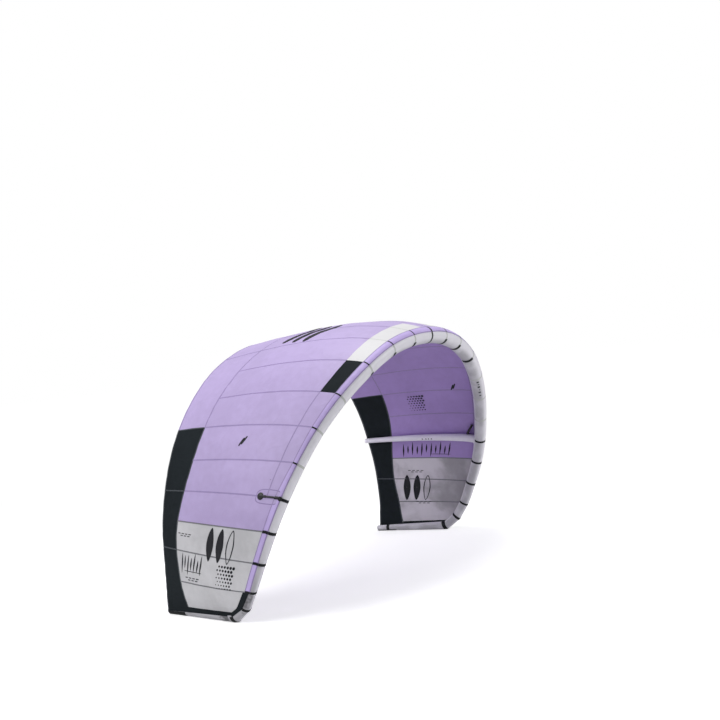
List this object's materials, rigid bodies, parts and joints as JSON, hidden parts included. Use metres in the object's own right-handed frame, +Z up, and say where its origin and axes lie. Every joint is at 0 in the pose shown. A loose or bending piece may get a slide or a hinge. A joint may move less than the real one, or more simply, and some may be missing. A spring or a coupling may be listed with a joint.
{
  "type": "inflatable kitesurfing kite",
  "caption": "Arched kitesurfing kite with an inflated leading tube, inflated struts and a panelled lilac, grey and black canopy, standing on its wingtips.",
  "frame": {"origin": "on the floor, under the middle of the kite's bounding box", "axes": "+X along the span, the leading tube faces -Y, +Z up; the kite stands on its two level wingtip tubes"},
  "size_m": [3.3472, 1.6169, 1.998],
  "materials": {
    "tube": "satin coated sailcloth",
    "strut": "satin coated sailcloth",
    "canopy_lilac": "satin ripstop",
    "canopy_grey": "satin ripstop",
    "patch_white": "satin coated sailcloth",
    "patch_black": "matt coated sailcloth",
    "hose": "matt"
  },
  "bodies": {
    "root": {"edge_tube_middle": "tube", "edge_tube_left_1": "tube", "edge_tube_left_2": "tube", "edge_tube_left_3": "tube", "edge_tube_right_1": "tube", "edge_tube_right_2": "tube", "edge_tube_right_3": "tube", "strut_middle": "strut", "strut_left": "strut", "strut_right": "strut", "gore_left_1": "canopy_lilac", "gore_left_2": "canopy_lilac", "gore_left_3": "canopy_lilac", "gore_left_4": "canopy_lilac", "gore_left_5": "canopy_lilac", "gore_left_6": "canopy_lilac", "gore_left_7": "canopy_lilac", "gore_left_8": "canopy_lilac", "gore_left_9": "canopy_grey", "gore_left_10": "canopy_grey", "gore_right_1": "canopy_lilac", "gore_right_2": "canopy_lilac", "gore_right_3": "canopy_lilac", "gore_right_4": "canopy_lilac", "gore_right_5": "canopy_lilac", "gore_right_6": "canopy_lilac", "gore_right_7": "canopy_lilac", "gore_right_8": "canopy_lilac", "gore_right_9": "canopy_grey", "gore_right_10": "canopy_grey", "edge_panel_white_left": "patch_white", "edge_panel_white_right": "patch_white", "edge_panel_black_left": "patch_black", "edge_panel_black_right": "patch_black", "front_strip_left": "canopy_lilac", "front_strip_right": "canopy_lilac", "tip_panel_left": "canopy_grey", "tip_border_left": "patch_black", "tip_panel_right": "canopy_grey", "tip_border_right": "patch_black", "tail_band_middle": "canopy_lilac", "tail_band_left_1": "canopy_lilac", "tail_band_left_2": "patch_black", "tail_band_left_3": "patch_black", "tail_band_left_4": "patch_black", "tail_band_right_1": "canopy_lilac", "tail_band_right_2": "patch_black", "tail_band_right_3": "patch_black", "tail_band_right_4": "patch_black", "joint_band_middle": "patch_black", "joint_band_left_7": "patch_black", "joint_band_left_8": "patch_black", "joint_band_left_9": "patch_black", "joint_band_left_10": "patch_black", "joint_band_right_7": "patch_black", "joint_band_right_8": "patch_black", "joint_band_right_9": "patch_black", "joint_band_right_10": "patch_black", "inflation_hose_left": "hose", "inflation_hose_right": "hose"}
  },
  "joints": []
}
